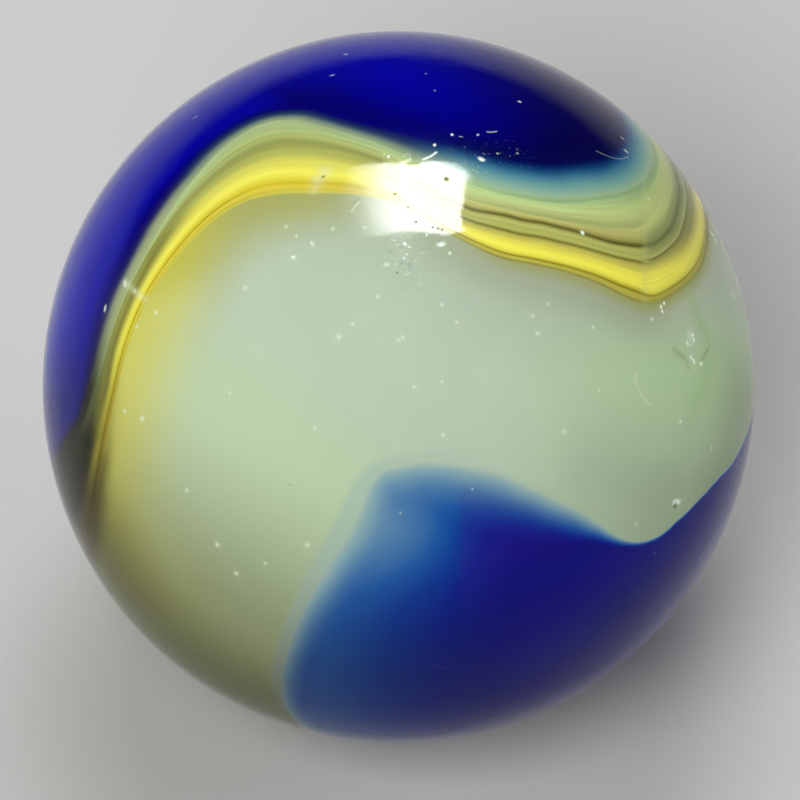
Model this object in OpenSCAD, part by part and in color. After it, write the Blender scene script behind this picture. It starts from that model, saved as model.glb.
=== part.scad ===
// Glass marble: one solid ball of cobalt glass. A broad opal ribbon swirls through
// its skin from behind the right rim, over the face, to behind the left rim, with an
// olive and a yellow streak along its upper edge. A few bubbles broke open when the
// ball was rolled. The origin is the centre of the ball and +Z is up.

/* [Ball] */
// Diameter of the ball
ball_d = 16; // [12:0.5:50]
// How far the face is tipped back from upright, in degrees
face_tilt = 50; // [0:5:90]

/* [Open bubbles] */
// Width of the large open bubbles at the skin
bubble_w = 0.2; // [0.1:0.05:0.4]
// Width of the small open bubbles at the skin
speck_w = 0.12; // [0.08:0.02:0.3]

/* [Hidden] */
ball_r = ball_d / 2;

// Colours of the glass
cobalt = "#1d12a0";
olive = "#8f9a5a";
yellow = "#e3d257";
opal = "#b7cbaa";

// Each colour is a wedge of glass that starts at a depth below the skin and runs out
// past it, so that the ball trims it. The far side of a chord stays clear of the skin.
streak_depth = 3.2;
overshoot = 1.2;
stations_per_row = 3;
steps_across = [1, 1, 3];

// A place on the skin is [clock, away]: away is the angle from the middle of the face,
// 90 at the rim and 180 at the back, and clock turns from the top as on a dial.
// Each row is one station of the ribbon, from its tail behind the right rim to its
// tail behind the left: where cobalt meets olive, olive meets yellow, yellow meets
// opal, and opal meets the cobalt again along the ribbon's lower edge.
ribbon = [
    [[118, 161], [121, 161], [124, 160], [127, 160]],
    [[88, 155], [96, 153], [103, 151], [115, 152]],
    [[64, 145], [76, 142], [85, 140], [103, 142]],
    [[47, 130], [62, 129], [72, 128], [94, 130]],
    [[39, 111], [55, 110], [62, 109], [90, 110]],
    [[40, 90], [55, 90], [59, 91], [91, 91]],
    [[46, 78], [60, 73], [65, 75], [99, 78]],
    [[47, 68], [65, 63], [70, 63], [107, 69]],
    [[44, 58], [66, 54], [72, 52], [116, 60]],
    [[38, 51], [61, 44], [69, 43], [123, 51]],
    [[27, 44], [46, 35], [56, 34], [126, 42]],
    [[13, 42], [28, 31], [38, 27], [130, 28]],
    [[359, 44], [8, 32], [12, 28], [147, 15]],
    [[346, 52], [348, 39], [350, 33], [180, 11]],
    [[334, 58], [333, 46], [334, 37], [207, 14]],
    [[318, 58], [317, 49], [316, 43], [207, 23]],
    [[302, 56], [301, 51], [299, 47], [206, 34]],
    [[286, 56], [284, 53], [282, 50], [205, 45]],
    [[272, 59], [268, 57], [265, 54], [204, 56]],
    [[262, 66], [256, 64], [251, 63], [202, 68]],
    [[257, 80], [250, 78], [244, 77], [198, 81]],
    [[255, 98], [247, 96], [241, 94], [192, 98]],
    [[253, 116], [245, 113], [239, 111], [191, 116]],
    [[253, 134], [244, 130], [238, 128], [198, 133]],
    [[260, 150], [251, 147], [244, 144], [215, 147]],
    [[281, 162], [272, 160], [265, 158], [245, 157]],
    [[309, 164], [305, 164], [301, 163], [296, 163]],
];

// Open bubbles, each a place on the skin and a width.
open_bubbles = [
    [[113, 57], bubble_w],
    [[16, 25], bubble_w],
    [[20, 43], speck_w],
    [[13, 37], speck_w],
    [[340, 39], speck_w],
];

function unit(v) = v / norm(v);
function on_ball(place) =
    let (clock = place[0], away = place[1])
    [sin(away) * sin(clock), -cos(away), sin(away) * cos(clock)];

// One point of the smooth curve through b and c, with a and d as its neighbours.
function curve_point(a, b, c, d, t) =
    unit(2 * b + (c - a) * t + (2 * a - 5 * b + 4 * c - d) * t ^ 2
         + (3 * b - a - 3 * c + d) * t ^ 3);

// One of the ribbon's four edges as a smooth line of points on a ball of radius 1.
function edge_line(side) =
    let (places = [for (row = ribbon) on_ball(row[side])], last = len(places) - 1)
    [for (i = [0:last - 1]) for (j = [0:stations_per_row - 1])
        curve_point(places[max(i - 1, 0)], places[i], places[i + 1],
                    places[min(i + 2, last)], j / stations_per_row),
     places[last]];

// The wedge of glass between one edge of the ribbon and the next one down.
module streak(side) {
    upper = edge_line(side);
    lower = edge_line(side + 1);
    steps = steps_across[side];
    stations = len(upper);
    each_station = steps + 1;
    inner_first = stations * each_station;
    skin = [for (i = [0:stations - 1]) for (j = [0:steps])
        unit(upper[i] + (lower[i] - upper[i]) * j / steps)];
    function outer(i, j) = i * each_station + j;
    function inner(i, j) = inner_first + outer(i, j);
    function quad(p, q, r, s) = [[p, q, r], [p, r, s]];
    faces = [
        for (i = [0:stations - 2]) for (j = [0:steps - 1]) each concat(
            quad(outer(i, j), outer(i, j + 1), outer(i + 1, j + 1), outer(i + 1, j)),
            quad(inner(i, j), inner(i + 1, j),
                 inner(i + 1, j + 1), inner(i, j + 1))),
        for (i = [0:stations - 2]) each concat(
            quad(outer(i, 0), outer(i + 1, 0), inner(i + 1, 0), inner(i, 0)),
            quad(outer(i, steps), inner(i, steps),
                 inner(i + 1, steps), outer(i + 1, steps))),
        for (j = [0:steps - 1]) each concat(
            quad(outer(0, j), inner(0, j), inner(0, j + 1), outer(0, j + 1)),
            quad(outer(stations - 1, j), outer(stations - 1, j + 1),
                 inner(stations - 1, j + 1), inner(stations - 1, j)))
    ];
    polyhedron(concat(skin * ball_r * overshoot, skin * (ball_r - streak_depth)),
               faces, convexity = 8);
}

module ball() { sphere(r = ball_r, $fn = 96); }

module cobalt_glass() {
    color(cobalt) difference() {
        ball();
        for (side = [0:2]) streak(side);
    }
}

module ribbon_glass(side) {
    intersection() {
        ball();
        streak(side);
    }
}

module bubble_hollows() {
    for (bubble = open_bubbles)
        translate(on_ball(bubble[0]) * ball_r) sphere(d = bubble[1], $fn = 24);
}

module marble() {
    rotate([-face_tilt, 0, 0]) difference() {
        union() {
            cobalt_glass();
            color(olive) ribbon_glass(0);
            color(yellow) ribbon_glass(1);
            color(opal) ribbon_glass(2);
        }
        bubble_hollows();
    }
}

marble();
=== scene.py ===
"""Looks of the glass marble: one ball of cobalt glass with an opal, olive and yellow ribbon.

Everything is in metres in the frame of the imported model, whose origin is the ball's centre.
A place on the skin is (clock, away) in degrees, as in the source of the ball: away is the
angle from the middle of the face, 90 at the rim and 180 at the back, and clock turns from
the top as on a dial. Lengths on the skin are in millimetres, and colours are sRGB bytes.
"""
import math

import bmesh
import bpy
import numpy as np
from mathutils import Matrix, Vector, kdtree


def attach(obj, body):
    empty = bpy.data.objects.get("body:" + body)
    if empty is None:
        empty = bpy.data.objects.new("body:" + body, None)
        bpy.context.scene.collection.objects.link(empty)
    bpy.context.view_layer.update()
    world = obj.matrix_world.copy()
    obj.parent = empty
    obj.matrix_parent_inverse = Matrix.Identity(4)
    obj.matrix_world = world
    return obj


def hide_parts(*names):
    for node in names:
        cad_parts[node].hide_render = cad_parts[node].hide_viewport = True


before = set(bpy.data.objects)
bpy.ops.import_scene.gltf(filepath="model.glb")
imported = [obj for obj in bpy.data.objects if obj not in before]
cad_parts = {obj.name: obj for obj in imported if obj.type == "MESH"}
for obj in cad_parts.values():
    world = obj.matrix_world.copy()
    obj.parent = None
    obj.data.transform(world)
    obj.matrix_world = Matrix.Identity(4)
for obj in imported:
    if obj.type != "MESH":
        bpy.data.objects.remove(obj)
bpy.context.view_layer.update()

MM = 0.001
RADIUS_MM = 8.0
BALL_RADIUS = RADIUS_MM * MM
# The middle of the face looks this many degrees up from the front.
FACE_TILT = 50.0
TILT_SIN = math.sin(math.radians(FACE_TILT))
TILT_COS = math.cos(math.radians(FACE_TILT))
FACE_OUT = np.array([0.0, -TILT_COS, TILT_SIN])
FACE_UP = np.array([0.0, TILT_SIN, TILT_COS])

# How finely the mesh is cut. Reaches and grains, which are edge lengths, are in mm.
ICOSPHERE_LEVEL = 7
SPLIT_ROUNDS = 5
BORDER_STRIDE = 10
BORDER_REACH = 0.40
BORDER_GRAIN = 0.12
SPECK_GRAIN = 0.05
PIT_GRAIN = 0.010
MARK_GRAIN = 0.012
LINE_GRAIN_SHARE = 0.4
# A face reaches about this share of its edge's length from its centre.
FACE_REACH = 0.6
# Further from a line than this, in ball radii, the distance to its nearest point is taken.
FAR_FROM_LINE = 0.02
# The inside of a closed line is told from one in so many of its points.
ENCLOSING_STRIDE = 5

# The specks of the far side: their number, the cosines of away, and radii in mm.
RANDOM_SEED = 7
FAR_SPECKS = 26
FAR_COSINES = (-0.98, -0.10)
FAR_RADII = (0.040, 0.075)
# A speck has a bright middle, painted as its glint, in a wider halo; a pit deepens by this
# power of the way in from its edge, and a fine line falls off by this factor.
SPECK_MIDDLE = 0.55
SPECK_HALO = 0.45
PIT_POWER = 1.5
LINE_FALLOFF = 1.9

# ---- outlines of the colours

# Where the cobalt begins, as one closed loop, clockwise from the left rim: over the face
# along the upper cobalt, behind the right rim round one tail of the ribbon, along the lower
# lobe, and behind the left rim round the other tail. Each row is (clock, away, fade), and
# fade is how many millimetres further in the cobalt has its full depth.
COBALT_EDGE = [
    (254.5, 90, 0.3), (258, 75, 0.3), (260.5, 68.8, 0.3), (264, 62.6, 0.3), (271, 57.9, 0.46),
    (279.5, 55.1, 0.75), (288, 53.8, 0.82), (296, 53, 0.84), (304.5, 53.2, 0.82),
    (313.5, 54.1, 0.7), (321.5, 55.4, 0.6), (328.5, 55.9, 0.54), (333.5, 55.3, 0.49),
    (339.5, 52.3, 0.46), (344.5, 48.5, 0.46), (350, 45, 0.5), (356.5, 42, 0.6),
    (4, 39.3, 0.76), (12.5, 37.5, 0.95), (22, 37, 1.03), (31.5, 38.7, 1.03), (41, 43.2, 1.03),
    (47, 50.5, 1.03), (50, 58, 1), (50, 66.5, 1), (48, 75, 1.05), (44.5, 84, 1.05),
    (41.5, 93, 1), (39.5, 103, 0.8), (41, 116, 0.7), (49, 131, 0.6), (65, 145, 0.6),
    (88, 155, 0.55), (112, 160.5, 0.45), (124, 162, 0.35), (128, 159, 0.35),
    (116, 152.5, 0.35), (103.5, 142, 0.3), (95, 130, 0.28), (90.5, 112, 0.24), (90.5, 99, 0.2),
    (91.5, 90, 0.18), (96.5, 81.5, 0.16), (102.5, 73.5, 0.14), (106.5, 67.5, 0.13),
    (110, 64, 0.12), (113, 61.7, 0.12), (116, 59.5, 0.13), (119.5, 57, 0.15),
    (122.6, 53.2, 0.18), (124.3, 48.3, 0.3), (124.4, 43.5, 0.55), (124.6, 38.4, 0.9),
    (126, 32, 1.2), (128, 25.7, 1.4), (132.5, 20, 1.42), (142, 15.4, 1.26),
    (158.5, 12.4, 1.12), (178.5, 12, 1), (193.5, 13.4, 0.88), (200.9, 17.3, 0.88),
    (202.4, 23.5, 0.92), (203.4, 30, 0.92), (204.1, 37, 0.88), (204.2, 44.5, 0.76),
    (203.6, 53, 0.63), (202.4, 61.5, 0.58), (200.3, 70.5, 0.55), (197, 80, 0.6),
    (194, 90, 0.6), (191, 103, 0.5), (191, 117, 0.4), (198, 133, 0.4), (215, 147, 0.35),
    (245, 157.5, 0.35), (280, 163, 0.3), (302, 165.5, 0.28), (303, 167.8, 0.28),
    (281, 167, 0.28), (261.5, 157.5, 0.28), (254, 142, 0.28), (252, 124, 0.3),
    (252.5, 106, 0.34),
]

# The olive line that parts the green half of the streak from its yellow half, and the line
# where the yellow ends and the opal begins. Both run from the tail behind the right rim,
# over the face, to the tail behind the left rim.
OLIVE_LINE = [
    (125, 161.5), (115, 160), (97, 154.5), (77, 144), (61.5, 130.5), (53, 114), (48.5, 99),
    (48.5, 88), (52, 79), (54.3, 74.5), (56, 70.1), (57.9, 65.5), (59.2, 61.9), (60, 58),
    (60.3, 54.5), (59.9, 51.7), (58.6, 49.3), (56.5, 46.6), (54, 44.4), (51.2, 42.5),
    (48.1, 40.7), (45, 39), (41.7, 37.6), (36.6, 35.4), (32.6, 34.4), (28.6, 33.4),
    (22.2, 32.3), (13.4, 32.8), (4.5, 35.5), (357, 38.6), (351, 41.2), (344.5, 44.3),
    (339, 47), (333, 49.6), (326.5, 51.1), (319.5, 51.5), (311, 51.8), (301.5, 52.2),
    (293, 52.8), (285, 53.8), (278, 54.9), (271.5, 56.4), (265, 59.2), (258.5, 63.4),
    (252.5, 69.8), (248.5, 78.6), (246, 90), (244.5, 108), (244.5, 126), (250, 142.5),
    (266, 157), (300, 166),
]
OPAL_LINE = [
    (127, 161), (117, 159.5), (103, 153.5), (85, 143), (71.5, 130), (62.5, 114), (58.5, 99),
    (58.7, 90), (61.5, 81), (63.6, 76), (66, 71), (68.5, 65.6), (70.3, 60.1), (71.4, 54.8),
    (72.1, 50), (71.3, 46.3), (68, 42.5), (62, 38.3), (55, 34), (47, 30), (37.5, 27),
    (24, 26.3), (12, 27.5), (0, 30.5), (351, 32.5), (343, 34.3), (336, 36.2), (329.5, 38.7),
    (323, 41.2), (318, 42.7), (312, 43.9), (305, 44.9), (298, 46), (291, 47.4), (283.5, 48.7),
    (276, 50.1), (268, 52), (260, 55.6), (253, 60.6), (247, 67.6), (243.5, 75.4), (241.5, 84),
    (240, 94), (238.5, 110), (238.5, 127), (245, 143), (264, 156.5), (299, 165.6),
]

# ---- marks of making and wear

# Pale specks in the glass, (clock, away, radius): tiny bubbles just under the skin, with
# their glints painted in.
SPECKS = [
    (90, 2.5, 0.055), (137, 10.5, 0.06), (105, 28.5, 0.07), (310, 12.5, 0.075),
    (210, 30.5, 0.075), (229, 42, 0.075), (221, 43.5, 0.075), (179, 20.5, 0.028),
    (144, 20.5, 0.028), (265, 50, 0.055), (263, 46, 0.075), (321, 27.5, 0.06), (325, 33, 0.05),
    (303, 30.5, 0.065), (329, 27.5, 0.055), (347, 15, 0.05), (324, 12.5, 0.05),
    (0, 7.5, 0.055), (5, 8, 0.05), (28, 15, 0.055), (42, 14, 0.05), (83, 7, 0.045),
    (62, 25, 0.05), (69, 24.5, 0.06), (73, 34.5, 0.045), (61, 28.5, 0.045), (91, 34, 0.045),
    (244, 41, 0.055), (217, 38, 0.05), (244, 15, 0.045), (268, 28, 0.045), (101, 63, 0.06),
    (97, 52.5, 0.05), (120, 50, 0.05), (123, 58.5, 0.028), (355, 20, 0.05), (291, 55, 0.075),
    (290, 51.5, 0.055), (287, 45, 0.06), (283, 48.5, 0.05), (75, 77, 0.07), (50, 42, 0.055),
    (64, 78, 0.05), (53, 61, 0.04),
]

# The far side has specks of the same kind, thinly scattered.
scatter = np.random.default_rng(RANDOM_SEED)
for _ in range(FAR_SPECKS):
    far_away = math.degrees(math.acos(scatter.uniform(*FAR_COSINES)))
    SPECKS.append((scatter.uniform(0, 360), far_away, scatter.uniform(*FAR_RADII)))

# Bubbles that broke open at the skin, (clock, away, radius, depth).
PITS = [
    (113, 57.5, 0.1, 0.08), (16.5, 24.5, 0.1, 0.05), (20, 42.5, 0.06, 0.04),
    (13, 36.5, 0.06, 0.05), (340.3, 38.5, 0.045, 0.03), (359, 32.5, 0.04, 0.02),
    (0.5, 32, 0.022, 0.012), (3, 30, 0.034, 0.018), (6, 27.5, 0.042, 0.022),
    (12, 27, 0.034, 0.018), (14, 27, 0.036, 0.02), (15.5, 27, 0.036, 0.02),
    (359.5, 18.5, 0.03, 0.015), (50, 42, 0.04, 0.022), (228, 24, 0.02, 0.01),
]

# Small bright chips, white partly as frosted glass and partly as painted glints, (clock,
# away, half length, half width, lean, strength).
CHIPS_AND_GLINTS = [
    (16.5, 24.5, 0.105, 0.065, 80, 1), (20, 42.5, 0.085, 0.055, 125, 1),
    (2.5, 23.5, 0.04, 0.036, 0, 0.95), (4.5, 23, 0.034, 0.03, 0, 0.75),
    (21, 23.5, 0.04, 0.036, 0, 0.8), (2.5, 21, 0.034, 0.034, 0, 0.65),
    (354, 20, 0.055, 0.055, 0, 0.35), (337.5, 28.5, 0.05, 0.05, 0, 0.42),
    (329, 28, 0.04, 0.03, 0, 0.6), (348, 27, 0.045, 0.04, 0, 0.35),
    (357.5, 40, 0.042, 0.036, 0, 0.8), (356.5, 40.5, 0.026, 0.026, 0, 0.6),
    (10.5, 25.5, 0.036, 0.026, 0, 0.8), (12, 46, 0.038, 0.032, 0, 0.95),
    (14, 46, 0.05, 0.018, 100, 0.4), (8.5, 43, 0.046, 0.034, 20, 1),
    (17.5, 47.5, 0.04, 0.026, 50, 0.65), (7, 56.5, 0.03, 0.026, 0, 0.3),
    (5, 61.5, 0.03, 0.026, 0, 0.3), (23, 60, 0.044, 0.032, 110, 0.95),
    (23, 45, 0.03, 0.026, 0, 0.5), (27, 47, 0.03, 0.028, 0, 0.45),
    (351, 70.5, 0.07, 0.04, 90, 0.5), (348, 63, 0.06, 0.034, 60, 0.4),
    (323, 71, 0.075, 0.04, 45, 0.25), (50, 42, 0.056, 0.042, 150, 1),
    (44, 66.5, 0.07, 0.036, 150, 0.7), (42, 69.5, 0.06, 0.034, 150, 0.5),
    (53, 61, 0.06, 0.02, 90, 0.45), (64, 78, 0.11, 0.04, 150, 0.85),
    (65.3, 78.2, 0.08, 0.036, 150, 0.85), (285, 58, 0.085, 0.045, 0, 0.7),
    (290.5, 54.5, 0.065, 0.045, 150, 0.6), (72.5, 51, 0.044, 0.04, 0, 0.95),
    (73, 50, 0.052, 0.042, 0, 1), (74, 50, 0.044, 0.036, 0, 1),
    (75, 47, 0.055, 0.042, 60, 0.5), (80, 56.5, 0.06, 0.05, 0, 1),
    (81, 56.7, 0.056, 0.04, 20, 0.9), (81.4, 54.7, 0.075, 0.042, 150, 0.9),
    (84.2, 55.2, 0.06, 0.044, 150, 1), (85, 55.9, 0.075, 0.046, 140, 1),
    (85.6, 58, 0.065, 0.046, 60, 1), (80.4, 55.8, 0.2, 0.14, 0, 0.28),
    (82.5, 60.5, 0.028, 0.026, 0, 0.6), (74.5, 76, 0.09, 0.04, 0, 0.4),
    (97, 52.5, 0.045, 0.045, 0, 0.35), (321, 27.8, 0.046, 0.03, 90, 0.9),
    (326, 30.5, 0.032, 0.028, 0, 0.6), (112.5, 57.2, 0.16, 0.075, 90, 1),
]

# Fine lines on the skin, (width, strength, places along it): bright scratches, their glints
# painted in, a half-moon at the right and smears on the left, the green rim of the bruise at
# the right, and cracks.
SCRATCHES = [
    (0.045, 1, [(6.3, 39.6), (7.2, 40.1), (8, 40.5), (9.2, 41.5)]),
    (0.026, 0.35, [(1.2, 39.8), (2, 40.6), (2.8, 40.4), (3, 39.5)]),
    (0.03, 0.6, [(19.2, 48.9), (20.1, 49.2), (21, 49.8)]),
    (0.03, 0.45, [(345, 30.4), (346.6, 31.2), (348, 31.8)]),
    (0.02, 0.34, [(40, 59.4), (42.4, 60.7), (44.2, 62.8), (45, 65.6)]),
    (0.03, 0.02, [(173, 51.4), (171, 52.6), (169, 53.6)]),
]
PALE_LINES = [
    (0.06, 0.4, [(86.5, 41.5), (88.4, 41.4), (90, 41.8), (92, 42.7), (94.2, 44.8)]),
    (0.3, 0.4, [(341, 39.3), (339.9, 38.8), (338.8, 38.2)]),
    (0.2, 0.3, [(338.8, 38.2), (337.6, 37.2), (336.8, 36.4)]),
    (0.15, 0.35, [(291, 54.7), (290, 51.5), (289.1, 48.3)]),
]
GREEN_LINES = [
    (0.34, 0.5, [(72.8, 58.6), (74.8, 58.8), (77.2, 59.4), (79.4, 60.4), (81.4, 61.2)]),
    (0.52, 0.34, [(84.5, 60.5), (87.5, 59.5), (90.5, 58), (92.5, 55.5)]),
]
DARK_LINES = [
    (0.16, 0.26, [(82.4, 51), (83.2, 52), (84, 53)]),
    (0.09, 0.3, [(84.8, 58.4), (83.8, 59.6), (82.8, 60.8)]),
    (0.12, 0.18, [(84, 53), (85, 53.8), (86.2, 54.2)]),
    (0.024, 0.45, [(346, 31.6), (347.4, 32.2), (348.4, 32.3)]),
]


# ---- places and lines

def on_ball(clock, away):
    """The direction of a place on the skin, in the frame of the model."""
    turn, lean = math.radians(clock), math.radians(away)
    x = math.sin(lean) * math.sin(turn)
    y = -math.cos(lean)
    z = math.sin(lean) * math.cos(turn)
    return np.array([x, y * TILT_COS + z * TILT_SIN, -y * TILT_SIN + z * TILT_COS])


def unit(vectors):
    return vectors / np.linalg.norm(vectors, axis=-1, keepdims=True)


def step(values, low, high):
    """0 below low, 1 above high and smooth between; high may be the lower one."""
    t = np.clip((values - low) / (high - low), 0, 1)
    return t * t * (3 - 2 * t)


def window(*rows):
    """The product of steps, each given as (values, low, high)."""
    return math.prod(step(*row) for row in rows)


def smooth_line(rows, closed, steps=30):
    """A smooth line on the unit ball through rows of (clock, away, other values...)."""
    knots = np.array([np.append(on_ball(*row[:2]), row[2:]) for row in rows])
    count = len(knots)

    def knot(index):
        return knots[index % count] if closed else knots[min(max(index, 0), count - 1)]

    points = []
    for i in range(count if closed else count - 1):
        a, b, c, d = (knot(i + k) for k in (-1, 0, 1, 2))
        for t in np.arange(steps) / steps:
            points.append(0.5 * (2 * b + (c - a) * t + (2 * a - 5 * b + 4 * c - d) * t ** 2
                                 + (3 * b - a - 3 * c + d) * t ** 3))
    if not closed:
        points.append(knots[-1])
    points = np.array(points)
    points[:, :3] = unit(points[:, :3])
    return points


def tree_of(places):
    tree = kdtree.KDTree(len(places))
    for index, place in enumerate(places):
        tree.insert(Vector(place), index)
    tree.balance()
    return tree


def flattened(directions):
    """Places on a plane for directions, projected from the middle of the face."""
    share = 1 / np.maximum(1 - directions @ FACE_OUT, 1e-9)
    return directions[:, 0] * share, directions @ FACE_UP * share


def enclosed(directions, loop):
    """Whether a closed loop that leaves out the middle of the face goes round a direction."""
    x, y = flattened(directions)
    loop_x, loop_y = flattened(loop)
    inside = np.zeros(len(x), dtype=bool)
    for x1, y1, x2, y2 in zip(loop_x, loop_y, np.roll(loop_x, -1), np.roll(loop_y, -1)):
        crossing = (y1 > y) != (y2 > y)
        if crossing.any():
            inside ^= crossing & (x < x1 + (x2 - x1) * (y - y1) / (y2 - y1))
    return inside


def signed_distance(directions, line, closed):
    """Distance in mm from each direction to a line, and the index of the line's nearest
    point. It is positive inside a closed line, and on the left of an open line as it is
    followed from outside the ball."""
    places = line[:, :3]
    tree = tree_of(places)
    nearest = np.array([tree.find(Vector(d))[1] for d in directions])
    if closed:
        along = np.roll(places, -1, axis=0) - np.roll(places, 1, axis=0)
    else:
        along = np.gradient(places, axis=0)
    left = unit(np.cross(places, along))
    offset = directions - places[nearest]
    across = np.einsum("ij,ij->i", offset, left[nearest])
    gap = np.linalg.norm(offset, axis=1)
    side = np.sign(across)
    if closed:
        side = np.where(enclosed(directions, places[::ENCLOSING_STRIDE]), 1.0, -1.0)
    return np.where(gap > FAR_FROM_LINE, side * gap, across) * RADIUS_MM, nearest


def gaps_to(places, middle):
    """The distance in mm from each place to one point of the skin."""
    return np.linalg.norm(places - middle, axis=1) * RADIUS_MM


def dots_along(rows, spacing_mm):
    """Places along a line at an even spacing."""
    line = smooth_line(rows, closed=False, steps=24)[:, :3]
    lengths = np.linalg.norm(np.diff(line, axis=0), axis=1) * RADIUS_MM
    travel = np.append(0.0, np.cumsum(lengths))
    stations = np.linspace(0, travel[-1], max(int(travel[-1] / spacing_mm), 2))
    return unit(np.stack([np.interp(stations, travel, line[:, k]) for k in range(3)], axis=1))


# ---- the ball's mesh

def base_ball(level):
    ball = bmesh.new()
    bmesh.ops.create_icosphere(ball, subdivisions=level, radius=1.0)
    corners = np.array([v.co[:] for v in ball.verts])
    faces = np.array([[v.index for v in f.verts] for f in ball.faces])
    ball.free()
    return unit(corners), faces


def split_faces(corners, faces, chosen):
    """Halve the edges of the chosen faces, and join their neighbours on without gaps."""
    edges = np.sort(faces[:, [[0, 1], [1, 2], [2, 0]]], axis=2)
    keys = edges[..., 0] * len(corners) + edges[..., 1]
    halved = np.unique(keys[chosen])
    marked = np.isin(keys, halved)
    ends = np.stack([halved // len(corners), halved % len(corners)], axis=1)
    middles = unit(corners[ends].sum(axis=1))
    middle_of = np.searchsorted(halved, np.where(marked, keys, halved[0])) + len(corners)
    result = [faces[~marked.any(axis=1)]]

    def add(which, *triangles):
        result.extend(np.stack(triangle, axis=1)[which] for triangle in triangles)

    for turn in range(3):
        a, b, c = (faces[:, (turn + k) % 3] for k in range(3))
        ab, bc, ca = (middle_of[:, (turn + k) % 3] for k in range(3))
        on_ab, on_bc, on_ca = (marked[:, (turn + k) % 3] for k in range(3))
        add(on_ab & ~on_bc & ~on_ca, (a, ab, c), (ab, b, c))
        add(on_ab & on_bc & ~on_ca, (ab, b, bc), (a, ab, bc), (a, bc, c))
    add(on_ab & on_bc & on_ca, (a, ab, ca), (ab, b, bc), (ca, bc, c), (ab, bc, ca))
    return np.concatenate([corners, middles]), np.concatenate(result)


def refine(corners, faces, spots):
    """Split the faces that touch each spot of (place, reach, grain) until no edge is longer
    than the grain. Reach and grain are in mm."""
    for _ in range(SPLIT_ROUNDS):
        centres = unit(corners[faces].sum(axis=1))
        lengths = np.linalg.norm(corners[faces[:, 0]] - corners[faces[:, 1]], axis=1)
        lengths = lengths * RADIUS_MM
        half = FACE_REACH * lengths
        tree = tree_of(centres)
        chosen = np.zeros(len(faces), dtype=bool)
        for place, reach, grain in spots:
            widest = (reach + half.max()) / RADIUS_MM
            for _, i, gap in tree.find_range(Vector(place), widest):
                if lengths[i] > grain and gap * RADIUS_MM < reach + half[i]:
                    chosen[i] = True
        if not chosen.any():
            break
        corners, faces = split_faces(corners, faces, chosen)
    return corners, faces


cobalt_line = smooth_line(COBALT_EDGE, closed=True)
olive_line = smooth_line(OLIVE_LINE, closed=False)
opal_line = smooth_line(OPAL_LINE, closed=False)

line_places = np.concatenate([line[:, :3] for line in (cobalt_line, olive_line, opal_line)])
spots = [(place, BORDER_REACH, BORDER_GRAIN) for place in line_places[::BORDER_STRIDE]]
# Marks are refined in proportion to their size: (rows, reach per size, grain per width, the
# column of the width, finest grain). The size is each row's third number.
for rows, reach, share, column, finest in (
        (SPECKS, 2.2, 0.0, 2, SPECK_GRAIN), (SPECKS, 1.1, 0.5, 2, 0.0),
        (PITS, 1.1, 0.3, 2, PIT_GRAIN), (CHIPS_AND_GLINTS, 1.2, 0.5, 3, MARK_GRAIN)):
    for row in rows:
        grain = max(share * row[column], finest)
        spots.append((on_ball(*row[:2]), reach * row[2], grain))
for width, _, rows in SCRATCHES + PALE_LINES + GREEN_LINES + DARK_LINES:
    grain = max(LINE_GRAIN_SHARE * width, MARK_GRAIN)
    spots += [(place, width, grain) for place in dots_along(rows, width)]
corners, faces = base_ball(ICOSPHERE_LEVEL)
corners, faces = refine(corners, faces, spots)

# ---- marks at each corner

def patch(clock, away, along_mm, across_mm, lean):
    """A soft oval patch on the skin: 1 in its middle, falling to 0 past its half widths.
    Its long axis leans by lean degrees, clockwise from straight up."""
    middle = on_ball(clock, away)
    up = unit(FACE_UP - middle * np.dot(FACE_UP, middle))
    right = np.cross(up, middle)
    angle = math.radians(lean)
    long_axis = up * math.cos(angle) + right * math.sin(angle)
    short_axis = right * math.cos(angle) - up * math.sin(angle)
    offset = (corners - middle) * RADIUS_MM
    reach = (offset @ long_axis / along_mm) ** 2 + (offset @ short_axis / across_mm) ** 2
    same_side = corners @ middle > 0
    return np.exp(-reach) * same_side


def drawn(lines):
    """How strongly a set of fine lines marks each corner, from 0 to 1."""
    marked = np.zeros(len(corners))
    for width, strength, rows in lines:
        places = dots_along(rows, 0.3 * width)
        tree = tree_of(places)
        middle = places[len(places) // 2]
        reach = gaps_to(places, middle).max() + 2 * width
        close = np.flatnonzero(gaps_to(corners, middle) < reach)
        gap = np.array([tree.find(Vector(corners[i]))[2] for i in close]) * RADIUS_MM
        line = strength * np.exp(-(LINE_FALLOFF * gap / width) ** 2)
        marked[close] = np.maximum(marked[close], line)
    return marked


specks = np.zeros(len(corners))
for clock, away, radius in SPECKS:
    gap = gaps_to(corners, on_ball(clock, away))
    bright_middle = SPECK_MIDDLE * np.exp(-(gap / (0.5 * radius)) ** 2)
    specks = np.maximum(specks, bright_middle + SPECK_HALO * np.exp(-(gap / radius) ** 2))

# Chips and scratches are pale, partly frosted glass and partly painted glint. A chip is
# flatter on top than a patch, and falls off faster past its half widths.
chips_and_glints = drawn(SCRATCHES)
for clock, away, half_length, half_width, lean, strength in CHIPS_AND_GLINTS:
    shape = patch(clock, away, half_length, half_width, lean)
    chips_and_glints = np.maximum(chips_and_glints, strength * np.exp(-np.log(np.maximum(shape, 1e-30)) ** 2))

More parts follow.
